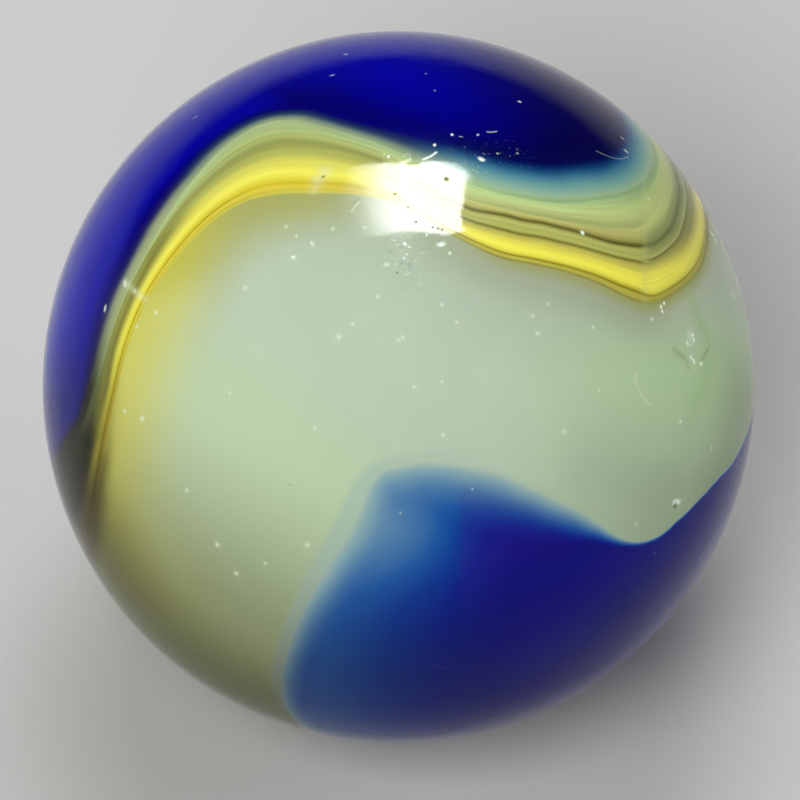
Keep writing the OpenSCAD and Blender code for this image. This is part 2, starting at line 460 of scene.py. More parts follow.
# Each pit is a round dish. Its slope tips the skin's direction there.
depth_mm = np.zeros(len(corners))
slope = np.zeros_like(corners)
pit_shade = np.zeros(len(corners))
for clock, away, radius, depth in PITS:
    middle = on_ball(clock, away)
    gap = gaps_to(corners, middle)
    inside = np.clip(1 - (gap / radius) ** 2, 0, 1)
    depth_mm = np.maximum(depth_mm, depth * inside ** PIT_POWER)
    steepness = depth * PIT_POWER * np.sqrt(inside) * 2 * gap / radius ** 2
    from_pit = corners - middle
    from_pit = from_pit / np.maximum(np.linalg.norm(from_pit, axis=1), 1e-9)[:, None]
    slope += from_pit * np.where(gap < radius, steepness, 0)[:, None]
    pit_shade = np.maximum(pit_shade, step(gap, radius, 0.7 * radius))
directions = unit(corners - slope)
skin = corners * (RADIUS_MM - depth_mm)[:, None] * MM

# ---- tones at each corner

into_cobalt, nearest = signed_distance(corners, cobalt_line, closed=True)
above_olive = -signed_distance(corners, olive_line, closed=False)[0]
above_opal = -signed_distance(corners, opal_line, closed=False)[0]

# Places in mm as the face is seen: to the right, up, and out towards the viewer. The
# distance from_middle is greatest at the rim, and past_rim goes on growing behind it.
x_mm, y_mm, z_mm = (corners * RADIUS_MM).T
face_up = y_mm * TILT_SIN + z_mm * TILT_COS
face_out = z_mm * TILT_SIN - y_mm * TILT_COS
from_middle = np.hypot(x_mm, face_up)
past_rim = np.where(face_out > 0, from_middle, 2 * RADIUS_MM - from_middle)

# The lower lobe is thin at its left and thickest at its right, with a haze in its upper
# left corner. Painted shade makes it a little darker low down and near the rim.
in_lobe = window((face_up, 2.0, 0.5), (x_mm, -5.0, -3.0))
lobe_depth = 0.44 + 0.56 * np.clip((x_mm + 1.54) / 5.2, 0, 1)
lobe_depth = lobe_depth * (1 - 0.57 * patch(190, 22.5, 1.50, 2.20, 0))
lobe_tone = 0.47 - 0.08 * step(face_up, -3.2, -5.4)
lobe_tone = lobe_tone - 0.14 * step(from_middle, 6.2, 7.6)
near_lobe = np.clip(2.2 * patch(195, 38, 3.6, 3.0, 20), 0, 1)
# The upper cobalt is darkest along its lower edge and towards its right tip.
cobalt_tone = 0.25 + 0.75 * step(into_cobalt, 0.3, 2.6)
cobalt_tone = np.maximum(cobalt_tone, 0.86 * step(x_mm, -1.5, -3.5))
cobalt_tone = cobalt_tone * (1 - 0.85 * step(x_mm, -0.6, 4.0))

# Low on the left, painted shade makes the whole streak nearly black towards the rim. The
# shade begins at the first distance below from the middle of the face and ends at the second
# into the opal, both in mm. It is weaker beside the gold and high in the streak.
shade_from = 6.02 + 0.24 * step(face_up, -0.2, -1.6)
shade_from = shade_from - 1.2 * step(face_up, -0.8, -3.6)
shade_reach = 0.50 + 0.15 * step(face_up, -1.9, -2.7)
shade_reach = shade_reach + 0.15 * step(face_up, -1.6, -1.0)
beside_gold = window((above_opal, -0.20, 0.05), (above_opal, 0.55, 0.25),
                     (face_up, -0.9, -1.5), (face_up, -2.6, -1.1))
high_streak = window((into_cobalt, 0.05, -0.20), (face_up, -1.2, -0.2))
left_rim_painted_shade = window((past_rim, shade_from, shade_from + 0.85), (face_up, 2.2, -0.3),
                  (x_mm, -4.0, -5.5), (above_opal, -shade_reach, 0.12),
                  (into_cobalt, 2.6, 0.8))
left_rim_painted_shade = left_rim_painted_shade * (1 - 0.28 * beside_gold) * (1 - 0.22 * high_streak)

# Painted shade darkens the opal towards the lower left rim, and less so in the hook at its
# lower right.
rim_painted_shade = window((from_middle, 6.3, 7.8), (face_up, -1.2, -3.2), (x_mm, 3.0, 0.0))
hook_rim_shade = 0.50 * window((from_middle, 6.8, 8.0), (face_up, 1.5, -0.5))
hook_rim_shade = hook_rim_shade + 0.20 * step(face_up, -1.2, -2.4)

# The numbers that the shader reads at each corner of the mesh.
corner_values = {
    "face_up": face_up,
    "into_cobalt": into_cobalt,
    "above_olive": above_olive,
    "above_opal": above_opal,
    "cobalt_fade": cobalt_line[nearest, 3],
    "cobalt_tone": cobalt_tone + in_lobe * (lobe_tone - cobalt_tone),
    "in_lobe": in_lobe,
    "depth_limit": 1 - in_lobe * (1 - lobe_depth),
    "lobe_foot_shade": step(face_up, -3.8, -6.8),
    # Cobalt hangs in the opal just outside the lobe, and a faint violet reflection is painted
    # on the lobe.
    "veil": 0.06 * step(into_cobalt, -0.34, -0.06) * near_lobe,
    "violet_reflection": step(x_mm, 1.15, 1.50) * patch(142, 27, 1.9, 1.7, 0),
    # The streak has a plain left part, a right part with more lines, and a curl at its
    # right end, past a fold in the glass, where the lines turn up towards the rim.
    "right_part": step(x_mm, -1.2, 1.4),
    "curl": step(x_mm, 5.30, 5.72),
    "curl_tip": step(face_up, 2.5, 3.6),
    # On the far left the yellow is dark beside the olive line, and the gold lower down.
    "left_dark": window((face_up, 4.8, 2.8), (x_mm, -4.0, -5.0), (face_up, -1.6, 0.2)),
    "low_left": window((face_up, 1.6, -0.2), (x_mm, -5.0, -6.0)),
    # Painted shade low on the left.
    "left_rim_painted_shade": left_rim_painted_shade * step(face_out, -6.5, -2.0),
    # How far the streak's yellow and olive glow into the opal, in mm.
    "glow_reach": 1.2 + 0.3 * step(x_mm, 0.6, -1.6) + 1.2 * step(x_mm, -1.6, -4.4),
    # The opal is olive at the lower left, darkened there by painted shade, warmer on the left
    # with a little painted light, grey over the upper right, green at the right rim, and dull
    # in the hook.
    "lower_left_olive_shade": step(-0.50 * x_mm - 0.85 * face_up, 2.4, 7.0),
    "warm_and_lit_left": step(-0.60 * x_mm - 0.80 * face_up, 0.0, 2.8),
    "upper_right": window((0.45 * x_mm + 0.89 * face_up, 0.9, 4.3), (x_mm, 6.6, 5.2)),
    "right_rim": window((x_mm, 1.0, 6.8), (face_up, 2.6, 0.2)),
    "hook_dull": window((x_mm, 2.8, 4.4), (face_up, 0.4, -2.0)),
    "rim_painted_shade": np.maximum(rim_painted_shade, hook_rim_shade * step(x_mm, 4.0, 6.0)),
    "specks": specks,
    "chips_and_glints": chips_and_glints,
    "pit_shade": pit_shade,
    "pale_lines": drawn(PALE_LINES),
    "green_lines": drawn(GREEN_LINES),
    "dark_lines": drawn(DARK_LINES),
    # A scuffed place below the lamp's glint and one above it, with the finest chips close
    # together, a haze round them that is partly a painted highlight under the glint, and a
    # place to their left that has lost its polish.
    "scuffed": np.maximum(patch(2.5, 21.5, 0.42, 0.72, 70),
                          0.7 * patch(18, 41, 0.95, 0.36, 75)),
    "haze_and_highlight": patch(2.0, 28.5, 1.25, 1.05, 90),
    "dulled": patch(346, 31, 0.75, 0.62, 0),
}

# ---- the ball itself

mesh = bpy.data.meshes.new("swirl_ball")
mesh.from_pydata(skin.tolist(), [], faces.tolist())
mesh.shade_smooth()
mesh.normals_split_custom_set_from_vertices(directions.tolist())
for name, values in corner_values.items():
    attribute = mesh.attributes.new(name, "FLOAT", "POINT")
    attribute.data.foreach_set("value", np.asarray(values, dtype=np.float32))


def add_object(name, data):
    obj = bpy.data.objects.new(name, data)
    bpy.context.scene.collection.objects.link(obj)
    return obj


marble = add_object("swirl_marble", mesh)


# ---- shader helpers

def linear(colour):
    """An sRGB colour in bytes as the linear values that a shader takes."""
    parts = [c / 255 for c in colour]
    return tuple(c / 12.92 if c <= 0.04045 else ((c + 0.055) / 1.055) ** 2.4
                 for c in parts) + (1.0,)


def new_material(name):
    material = bpy.data.materials.new(name)
    material.use_nodes = True
    return material


class Shading:
    """Adds nodes to one node tree. Each call takes numbers or sockets and gives a socket."""

    def __init__(self, tree):
        self.tree = tree
        self.principled = tree.nodes.get("Principled BSDF")

    def feed(self, node, inputs):
        """Give a node's inputs, by name or number, a socket or a plain value each."""
        for key, value in inputs.items():
            if isinstance(value, bpy.types.NodeSocket):
                self.tree.links.new(value, node.inputs[key])
            else:
                node.inputs[key].default_value = value

    def node(self, kind, inputs, **settings):
        """Add a node, and give its outputs."""
        node = self.tree.nodes.new("ShaderNode" + kind)
        for key, value in settings.items():
            setattr(node, key, value)
        self.feed(node, inputs)
        return node.outputs

    def math(self, operation, *values):
        return self.node("Math", dict(enumerate(values)), operation=operation)[0]

    def chain(self, operation, first, *others):
        for other in others:
            first = self.math(operation, first, other)
        return first

    def add(self, *values):
        return self.chain("ADD", *values)

    def times(self, *values):
        return self.chain("MULTIPLY", *values)

    def most(self, *values):
        return self.chain("MAXIMUM", *values)

    def minus(self, a, b):
        return self.math("SUBTRACT", a, b)

    def over(self, a, b):
        return self.math("DIVIDE", a, b)

    def below_zero(self, value):
        """How far a value lies below 0, and 0 above it."""
        return self.most(self.times(value, -1.0), 0.0)

    def step(self, value, low, high):
        """0 below low, 1 above high and smooth between; high may be the lower one."""
        if low > high:
            return self.minus(1.0, self.step(value, high, low))
        inputs = {"Value": value, "From Min": low, "From Max": high}
        return self.node("MapRange", inputs, interpolation_type="SMOOTHSTEP")["Result"]

    def bump_at(self, value, middle, half_width):
        """1 where value is at middle, falling smoothly to about a third at half_width."""
        off = self.over(self.minus(value, middle), half_width)
        return self.math("EXPONENT", self.times(off, off, -1.0))

    def read(self, name):
        """One of the mesh's corner_values."""
        return self.node("Attribute", {}, attribute_name=name)["Fac"]

    def mix(self, amount, a, b, blend="MIX"):
        """Colour a turned toward colour b. A tuple is an sRGB colour in bytes."""
        a, b = (linear(c) if isinstance(c, tuple) else c for c in (a, b))
        return self.node("Mix", {0: amount, 6: a, 7: b}, data_type="RGBA", blend_type=blend)[2]

    def blend(self, amount, a, b):
        """Number a turned toward number b."""
        return self.add(a, self.times(amount, self.minus(b, a)))

    def tinted(self, colour, tints):
        """A colour turned toward each tint of (corner value, share, colour) in turn."""
        for name, share, tint in tints:
            colour = self.mix(self.times(self.read(name), share), colour, tint)
        return colour

    def shaded(self, colour, noise, share):
        """A colour made lighter and darker by a share of some noise."""
        return self.mix(1.0, colour, self.add(1.0, self.times(noise, share)), "MULTIPLY")

    def ramp(self, value, stops):
        outputs = self.node("ValToRGB", {0: value})
        elements = outputs[0].node.color_ramp.elements
        while len(elements) < len(stops):
            elements.new(1.0)
        for element, (percent, *colour) in zip(elements, stops):
            element.position = percent / 100
            element.color = linear(colour)
        return outputs["Color"]

    def scaled(self, vector, factor):
        inputs = {0: vector, "Scale": factor}
        return self.node("VectorMath", inputs, operation="SCALE")[0]

    def noise(self, vector, scale, detail, w=None, roughness=0.5):
        """Smooth noise from -0.5 to 0.5; w gives it a fourth coordinate."""
        inputs = {"Vector": self.scaled(vector, scale), "Scale": 1.0, "Detail": detail,
                  "Roughness": roughness}
        if w is not None:
            inputs["W"] = w
        size = "3D" if w is None else "4D"
        return self.minus(self.node("TexNoise", inputs, noise_dimensions=size)["Fac"], 0.5)


# ---- the glass

# Bands of colour, from the upper edge of each half of the streak to its lower edge, and
# from the cobalt's edge inwards. A stop is (percent of the way, red, green, blue).
GREEN_LEFT = [
    (0, 168, 189, 142), (15, 184, 204, 142), (27, 185, 205, 139), (39, 182, 201, 131),
    (51, 181, 196, 124), (63, 180, 193, 117), (76, 174, 186, 110), (88, 166, 175, 101),
    (100, 160, 168, 94),
]
GREEN_RIGHT = [
    (0, 158, 190, 138), (10, 176, 202, 138), (22, 192, 214, 142), (36, 200, 216, 140),
    (46, 192, 204, 132), (56, 180, 190, 120), (64, 176, 186, 116), (71, 200, 204, 128),
    (79, 194, 194, 116), (88, 178, 172, 98), (95, 140, 138, 72), (100, 108, 106, 46),
]
YELLOW_LEFT = [
    (0, 159, 166, 92), (9, 169, 174, 93), (15, 179, 183, 96), (21, 190, 192, 98),
    (26, 199, 199, 98), (31, 210, 208, 99), (37, 222, 220, 100), (45, 234, 230, 100),
    (53, 243, 239, 102), (60, 245, 240, 97), (66, 242, 234, 88), (71, 236, 224, 76),
    (76, 222, 208, 62), (80, 210, 193, 50), (84, 217, 200, 62), (88, 220, 203, 73),
    (94, 210, 196, 72), (100, 208, 201, 86),
]
YELLOW_RIGHT = [
    (0, 108, 104, 42), (5, 170, 170, 90), (12, 190, 194, 110), (20, 180, 182, 96),
    (27, 190, 192, 106), (31, 166, 164, 82), (34, 146, 142, 60), (38, 176, 170, 80),
    (42, 200, 194, 92), (50, 214, 206, 90), (56, 232, 224, 88), (64, 245, 238, 92),
    (74, 244, 237, 90), (79, 234, 226, 84), (83, 200, 191, 60), (86, 178, 168, 50),
    (90, 195, 187, 75), (95, 191, 184, 86), (100, 168, 165, 88),
]
GREEN_CURL = [
    (0, 158, 188, 138), (12, 172, 200, 132), (22, 196, 216, 138), (32, 204, 220, 138),
    (45, 200, 214, 138), (55, 192, 205, 132), (68, 196, 208, 132), (76, 188, 199, 126),
    (83, 168, 178, 113), (91, 150, 159, 98), (100, 138, 146, 92),
]
YELLOW_CURL = [
    (0, 136, 144, 94), (8, 156, 168, 106), (15, 164, 173, 104), (21, 174, 178, 102),
    (26, 150, 152, 82), (32, 182, 179, 100), (38, 206, 201, 102), (43, 228, 221, 102),
    (50, 243, 236, 98), (62, 245, 239, 98), (74, 243, 236, 96), (81, 228, 221, 92),
    (86, 190, 183, 72), (91, 184, 178, 78), (96, 164, 162, 84), (100, 156, 158, 100),
]
YELLOW_TIP = [
    (0, 126, 134, 82), (10, 136, 146, 88), (17, 150, 161, 96), (23, 164, 169, 100),
    (29, 128, 131, 68), (36, 152, 155, 82), (43, 156, 155, 82), (51, 182, 176, 90),
    (59, 210, 203, 96), (67, 236, 229, 100), (77, 240, 234, 100), (85, 214, 208, 88),
    (92, 160, 156, 72), (100, 112, 110, 58),
]
COBALT_LEFT = [
    (0, 159, 179, 133), (12, 147, 168, 128), (22, 135, 156, 128), (32, 114, 136, 126),
    (42, 82, 102, 114), (52, 52, 72, 105), (62, 34, 52, 99), (72, 24, 38, 98),
    (86, 12, 16, 106), (100, 3, 2, 118),
]
COBALT_FAR_LEFT = [
    (0, 172, 181, 130), (12, 168, 178, 130), (24, 154, 164, 126), (34, 130, 142, 122),
    (44, 84, 90, 106), (54, 44, 42, 96), (66, 26, 20, 102), (82, 10, 4, 112), (100, 2, 1, 120),
]
COBALT_RIGHT = [
    (0, 172, 202, 150), (10, 162, 194, 155), (20, 148, 186, 164), (30, 130, 177, 164),
    (40, 112, 165, 163), (50, 92, 149, 161), (60, 68, 127, 153), (70, 43, 99, 139),
    (80, 20, 68, 118), (90, 5, 35, 100), (100, 2, 10, 82),
]
COBALT_LOBE = [
    (0, 168, 192, 174), (8, 152, 180, 180), (15, 130, 166, 178), (22, 106, 147, 176),
    (30, 80, 127, 172), (45, 32, 92, 166), (58, 8, 60, 154), (70, 0, 31, 144),
    (84, 0, 11, 131), (100, 0, 0, 120),
]
COBALT_DARKEST = (4, 0, 48)
COBALT_BRIGHTEST = (1, 0, 176)
COBALT_VIOLET_REFLECTION = (50, 24, 140)
COBALT_FOOT_SHADE = (0, 2, 64)
OPAL_PALE = (190, 208, 184)
OPAL_GREY = (181, 196, 175)
# Olive, darkened by painted shade, for the opal's lower left.
OPAL_OLIVE_SHADE = (120, 123, 80)
OPAL_DULL = (166, 180, 160)
OPAL_AMBER_SHADE = (134, 131, 60)
# Painted shade of the opal at its rims.
OPAL_RIM_SHADE = (70, 74, 42)
GLOW_LEFT = (208, 206, 100)
GLOW_UPPER_LEFT = (194, 191, 72)
GLOW_MIDDLE = (172, 174, 95)
GLOW_RIGHT = (165, 174, 144)
GLOW_CURL = (184, 194, 166)
GLOW_EDGE = (164, 166, 96)
LINE_BROWN = (84, 78, 26)
LEFT_BROWN = (66, 64, 26)
# Colours of the painted shade at the lower left.
SHADE_BROWN = (22, 20, 10)
SHADE_GOLD = (58, 49, 5)
STRAND_PALE = (200, 208, 140)
SPECK_GLINT_PALE = (228, 238, 214)
CHIP_GLINT_WHITE = (242, 255, 240)
DARK_MARK = (70, 84, 62)
# Tints of the opal and of the marks on the skin, (corner value, share, colour).
OPAL_TINTS = [
    # The warm tint on the left carries a little painted light.
    ("warm_and_lit_left", 1.0, (187, 207, 171)), ("upper_right", 0.8, OPAL_DULL),
    ("right_rim", 0.85, (184, 214, 162)), ("hook_dull", 0.5, OPAL_DULL),
]
MARK_TINTS = [
    ("pale_lines", 1.0, (226, 234, 206)), ("green_lines", 1.0, (158, 196, 130)),
    ("dark_lines", 1.0, DARK_MARK), ("pit_shade", 0.55, DARK_MARK),
]
# The glass is smooth, and rougher where it is chipped, scuffed or dulled.
GLASS_ROUGHNESS = 0.04
CHIP_ROUGHNESS = 0.35
SCUFF_ROUGHNESS = 0.12
DULL_ROUGHNESS = 0.16
GLASS_VALUES = {
    "IOR": 1.5, "Specular IOR Level": 0.10, "Subsurface Weight": 0.25,
    "Subsurface Radius": (1.0, 1.0, 0.8), "Subsurface Scale": 0.0008,
}
# This keeps a share of nothing from being a division by 0, in mm.
TINY = 0.0001
# Where the fold crosses the streak, in mm.
FOLD_X = 5.50
FOLD_HALF_WIDTH = 0.07
# Heights of the skin's ripples and scuffs, in mm.
RIPPLE_HEIGHT = 0.014
SCUFF_HEIGHT = 0.004


def streak_colour(s, place, x_mm, cobalt_in, olive, opal):
    """The colour of the streak, and how far across its yellow half each point lies."""
    right = s.read("right_part")
    curl = s.read("curl")
    not_curl = s.minus(1.0, curl)
    right_only = s.times(right, not_curl)
    face_up = s.read("face_up")

    # How far across each half of the streak a point lies, from 0 at its upper edge. Noise
    # along the streak bends the bands, and they bend together before the curl.
    outside = s.below_zero(cobalt_in)
    above = s.most(olive, 0.0)
    below = s.below_zero(olive)
    green_at = s.over(outside, s.add(outside, above, TINY))
    width = s.add(below, s.most(opal, 0.0), TINY)
    yellow_at = s.over(below, width)
    flow_green = s.noise(place, scale=0.30, detail=5.0, w=s.times(green_at, 6.0))
    flow_yellow = s.noise(place, scale=0.25, detail=5.0, w=s.times(yellow_at, 5.0))
    bend = s.times(s.step(x_mm, 3.4, 5.4), not_curl, 0.32,
                   s.times(yellow_at, s.minus(1.0, yellow_at)))
    green_moved = s.add(green_at, s.times(flow_green, 0.16))
    yellow_moved = s.add(yellow_at, bend, s.times(flow_yellow, 0.05))

    # The bands of colour across each half, with finer light and dark strands in them.
    green = s.mix(right, s.ramp(green_moved, GREEN_LEFT), s.ramp(green_moved, GREEN_RIGHT))
    green = s.mix(curl, green, s.ramp(green_moved, GREEN_CURL))
    yellow = s.mix(right, s.ramp(yellow_moved, YELLOW_LEFT),
                   s.ramp(yellow_moved, YELLOW_RIGHT))
    curled = s.mix(s.read("curl_tip"), s.ramp(yellow_moved, YELLOW_CURL),
                   s.ramp(yellow_moved, YELLOW_TIP))
    yellow = s.mix(curl, yellow, curled)
    on_yellow = s.step(olive, 0.02, -0.02)
    streak = s.mix(on_yellow, green, yellow)
    flow = s.blend(on_yellow, flow_green, s.times(flow_yellow, 0.6))
    streak = s.shaded(streak, flow, 0.7)
    across = s.blend(on_yellow, green_at, s.add(yellow_at, 1.0))
    strands = s.noise(place, scale=0.35, detail=3.0, w=s.times(across, 18.0))
    streak = s.shaded(streak, strands, 0.30)

    # Pale strands: one in the curl, and one along the fold.
    curl_pale = s.times(s.bump_at(yellow_moved, 0.225, 0.018), curl, s.times(on_yellow, 0.40))
    streak = s.mix(curl_pale, streak, STRAND_PALE)
    fold = s.times(s.bump_at(x_mm, FOLD_X, FOLD_HALF_WIDTH), 0.22)
    streak = s.mix(fold, streak, STRAND_PALE)

    # Dark on the far left: beside the olive line, and lower down along the gold.
    dark_at = s.blend(s.step(face_up, 3.4, 2.2), 0.25, 0.31)
    dark_at = s.add(dark_at, s.times(s.step(face_up, 0.9, -0.2), 0.10))
    left_dark = s.times(s.bump_at(yellow_at, dark_at, 0.20), s.read("left_dark"))
    streak = s.mix(s.times(left_dark, on_yellow, 0.66), streak, LEFT_BROWN)
    low_gold = s.times(s.bump_at(yellow_at, 0.80, 0.14), s.read("low_left"))
    streak = s.mix(s.times(low_gold, 0.32), streak, LEFT_BROWN)

    def hairline(at, half_mm, *shares):
        """A line at one share of the way across the yellow half, with its strength."""
        line = s.bump_at(s.times(s.minus(yellow_moved, at), width), 0.0, half_mm)
        return s.times(line, *shares)

    # Dark hairlines, with half widths in mm: at the olive line, between olive and yellow
    # on the right, between yellow and gold, in the gold on the left, at the opal line on
    # the right, and two in the curl.
    beside_arch = s.most(s.step(x_mm, 0.0, 1.4), s.step(x_mm, -2.8, -4.2))
    at_olive = s.times(s.bump_at(olive, 0.0, s.blend(right, 0.10, 0.048)),
                       s.blend(right, 0.05, s.times(not_curl, 0.52)))
    below_olive = hairline(0.34, 0.030, right_only, 0.55)
    above_gold = hairline(s.blend(right, 0.80, 0.86), s.blend(right, 0.016, 0.022), 0.5,
                          beside_arch)
    in_gold = hairline(0.93, 0.014, 0.22, s.times(s.minus(1.0, right), beside_arch))
    at_opal = s.times(s.bump_at(opal, 0.03, 0.035), right_only, 0.40)
    in_curl = s.most(s.bump_at(yellow_moved, 0.275, 0.018),
                     s.bump_at(yellow_moved, 0.05, 0.022))
    in_curl = s.times(in_curl, curl, 0.38)
    dark = s.most(at_olive, below_olive, in_gold, s.times(in_curl, on_yellow), above_gold,
                  at_opal)
    uneven = s.add(0.85, s.times(s.noise(place, scale=0.9, detail=2.0), 1.6))
    return s.mix(s.times(dark, uneven), streak, LINE_BROWN), yellow_at


def opal_colour(s, place, x_mm, opal):
    """The colour of the opal, with the streak's colours glowing through it beside them."""
    opal_depth = s.below_zero(opal)
    glow = s.step(s.over(opal_depth, s.read("glow_reach")), 1.0, 0.0)
    left_glow = s.mix(s.step(s.read("face_up"), 2.9, 1.5), GLOW_UPPER_LEFT, GLOW_LEFT)
    glow_colour = s.mix(s.step(x_mm, -3.2, -5.0), GLOW_MIDDLE, left_glow)
    glow_colour = s.mix(s.step(x_mm, -2.2, 0.2), glow_colour, GLOW_RIGHT)
    glow_colour = s.mix(s.step(x_mm, 5.4, 6.4), glow_colour, GLOW_CURL)
    cloud = s.noise(place, scale=0.45, detail=2.0)
    pale = s.tinted(s.mix(s.add(0.5, cloud), OPAL_GREY, OPAL_PALE), OPAL_TINTS)
    pale = s.mix(s.times(glow, 0.94), pale, glow_colour)
    near_glow = s.times(s.step(opal_depth, 0.34, 0.0), s.step(x_mm, 1.0, 3.0))
    pale = s.mix(s.times(near_glow, 0.75), pale, GLOW_EDGE)
    # Olive darkened by painted shade at the lower left.
    low_opal_shade = s.mix(s.step(x_mm, -3.5, -5.8), OPAL_OLIVE_SHADE, OPAL_AMBER_SHADE)
    # Painted shade at the rims.
    return s.tinted(pale, [("lower_left_olive_shade", 0.85, low_opal_shade), ("rim_painted_shade", 0.75, OPAL_RIM_SHADE)])


def cobalt_over(s, surface, x_mm, cobalt_in, wander):
    """A surface with the cobalt over it, thin at its edge and deep further in, and how deep
    the cobalt is there, from 0 to 1."""
    in_lobe = s.read("in_lobe")
    fade = s.read("cobalt_fade")
    depth = s.over(s.add(cobalt_in, s.times(wander, 0.10)), fade)
    depth = s.blend(in_lobe, depth, s.step(depth, -0.2, 1.1))
    depth = s.times(s.math("MINIMUM", s.most(depth, 0.0), 1.0), s.read("depth_limit"))
    depth = s.most(depth, s.read("veil"))
    deepest = s.mix(s.read("cobalt_tone"), COBALT_DARKEST, COBALT_BRIGHTEST)
    thin_left = s.mix(s.step(x_mm, -4.3, -5.3), s.ramp(depth, COBALT_LEFT),
                      s.ramp(depth, COBALT_FAR_LEFT))
    thin = s.mix(s.step(x_mm, 0.0, 2.0), thin_left, s.ramp(depth, COBALT_RIGHT))
    # A faint violet reflection painted on the lobe.
    violet_reflection = s.times(s.read("violet_reflection"), s.step(depth, 0.08, 0.45))
    lobe = s.mix(s.times(violet_reflection, 0.35), s.ramp(depth, COBALT_LOBE), COBALT_VIOLET_REFLECTION)
    # Painted shade darkens the lobe's foot.
    lobe = s.tinted(lobe, [("lobe_foot_shade", 0.6, COBALT_FOOT_SHADE)])
    thin = s.mix(in_lobe, thin, lobe)
    cobalt = s.mix(s.step(s.over(cobalt_in, fade), 0.75, 1.6), thin, deepest)
    cobalt = s.mix(s.times(in_lobe, s.step(depth, 1.0, 0.7)), cobalt, thin)
    return s.mix(s.step(depth, 0.0, 0.12), surface, cobalt), depth


def shade_skin(s, place, surface):
    """Give the material its colour with the wear over it, its roughness and its bump."""
    # A thin haze of wear over the most scuffed side of the skin, partly a painted highlight
    # that pales the colour under the lamp's glint.
    bloom = s.add(0.36, s.times(s.noise(place, scale=2.2, detail=4.0), 0.5))
    surface = s.mix(s.times(s.read("haze_and_highlight"), bloom), surface, OPAL_PALE)

    # Scuffs: a grain of chips too fine to model one by one, pale with painted glints, and of
    # pits darkened by painted shade.
    scuffed = s.read("scuffed")
    grain = s.noise(place, scale=9.0, detail=3.0, roughness=0.6)
    fine_chips_and_glints = s.times(s.step(grain, 0.10, 0.20), scuffed)
    fine_pit_shade = s.times(s.step(grain, -0.08, -0.18), scuffed)
    surface = s.mix(s.times(fine_pit_shade, 0.35), surface, DARK_MARK)
    # Chips and scratches show white, partly as painted glints.
    chipped_and_glinting = s.most(s.read("chips_and_glints"), s.times(fine_chips_and_glints, 0.6))
    rough = s.most(s.times(chipped_and_glinting, CHIP_ROUGHNESS), s.times(scuffed, SCUFF_ROUGHNESS),
                   s.times(s.read("dulled"), DULL_ROUGHNESS))
    ripples = s.times(s.noise(place, scale=0.9, detail=3.0), RIPPLE_HEIGHT)
    height = s.add(ripples, s.times(grain, scuffed, SCUFF_HEIGHT))
    bump = s.node("Bump", {"Height": height, "Strength": 1.0, "Distance": MM})
    s.feed(s.principled, {"Base Color": s.mix(chipped_and_glinting, surface, CHIP_GLINT_WHITE),
                          "Roughness": s.add(rough, GLASS_ROUGHNESS),
                          "Normal": bump["Normal"], **GLASS_VALUES})


def swirl_glass():
    material = new_material("swirl_glass")
    s = Shading(material.node_tree)
    place = s.scaled(s.node("TexCoord", {})["Object"], 1 / MM)
    x_mm = s.node("SeparateXYZ", {0: place})["X"]
    wander = s.noise(place, scale=1.1, detail=3.0)
    cobalt_in = s.read("into_cobalt")
    olive = s.add(s.read("above_olive"), s.times(wander, 0.03))
    opal = s.read("above_opal")

    # The streak lies in the opal, and the cobalt over both.
    streak, yellow_at = streak_colour(s, place, x_mm, cobalt_in, olive, opal)
    surface = s.mix(s.step(opal, -0.03, 0.03), opal_colour(s, place, x_mm, opal), streak)
    surface, depth = cobalt_over(s, surface, x_mm, cobalt_in, wander)

    # The painted shade at the lower left is brown, gold along the yellow, and weaker on the
    # cobalt.
    shade = s.minus(0.97, s.times(s.step(depth, 0.3, 0.8), 0.48))
    shade_colour = s.mix(s.step(yellow_at, 0.15, 0.65), SHADE_BROWN, SHADE_GOLD)
    surface = s.mix(s.times(s.read("left_rim_painted_shade"), shade), surface, shade_colour)

    # The specks, pale with painted glints, show less under the cobalt. The other marks lie on
    # the skin.
    showing = s.blend(depth, 0.85, 0.25)
    surface = s.mix(s.times(s.read("specks"), showing), surface, SPECK_GLINT_PALE)
    shade_skin(s, place, s.tinted(surface, MARK_TINTS))
    return material


mesh.materials.append(swirl_glass())
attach(marble, "root")
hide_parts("marble")

# ---- studio

# Distances in this part are in metres, and its angle in degrees.
CAMERA_DISTANCE = 0.75
SENSOR_WIDTH = 36.0
BALL_RADIUS_PIXELS = 356.0
BALL_CENTRE_PIXELS = (398.4, 387.0)
FRAME_PIXELS = 800.0
# The floor is pale round the ball, and darker far out so that the rim reflects less of it.
FLOOR_HALF_WIDTH = 0.6
FLOOR_COLOUR = (0.54, 0.54, 0.53, 1.0)
FLOOR_FAR_COLOUR = (0.09, 0.09, 0.09, 1.0)
FLOOR_NEAR = 0.020
FLOOR_FAR = 0.170
FLOOR_ROUGHNESS = 0.9
WORLD_LEVEL = 0.05
# Soft lamps, each with its direction and its share of a plain light level.
LAMP_DISTANCE = 0.6
LAMP_SIZE = 0.3
LAMPS = [
    ("key", (-0.05, 0.35, 0.93), 0.29), ("fill", (-0.25, -0.62, 0.74), 0.78),
    ("left", (-0.92, -0.20, 0.34), 0.16), ("right", (0.92, 0.06, 0.38), 0.25),
]
# The softbox gives the glint. It fades over the left half of its width, and is mottled.
SOFTBOX_DISTANCE = 0.25
SOFTBOX_DIRECTION = (0.0796, 0.3864, 0.9189)
SOFTBOX_OFFSET = Vector((-0.012, 0.003, -0.0015))
SOFTBOX_WIDTH = 0.150
SOFTBOX_HEIGHT = 0.122
SOFTBOX_CORNER = 0.020
SOFTBOX_EDGE = 0.006
SOFTBOX_ROLL = 4.5
SOFTBOX_RADIANCE = 86.0
SOFTBOX_FADE = (0.02, 0.50)
MOTTLE_SCALE = 7.0
MOTTLE_SHARE = 0.8


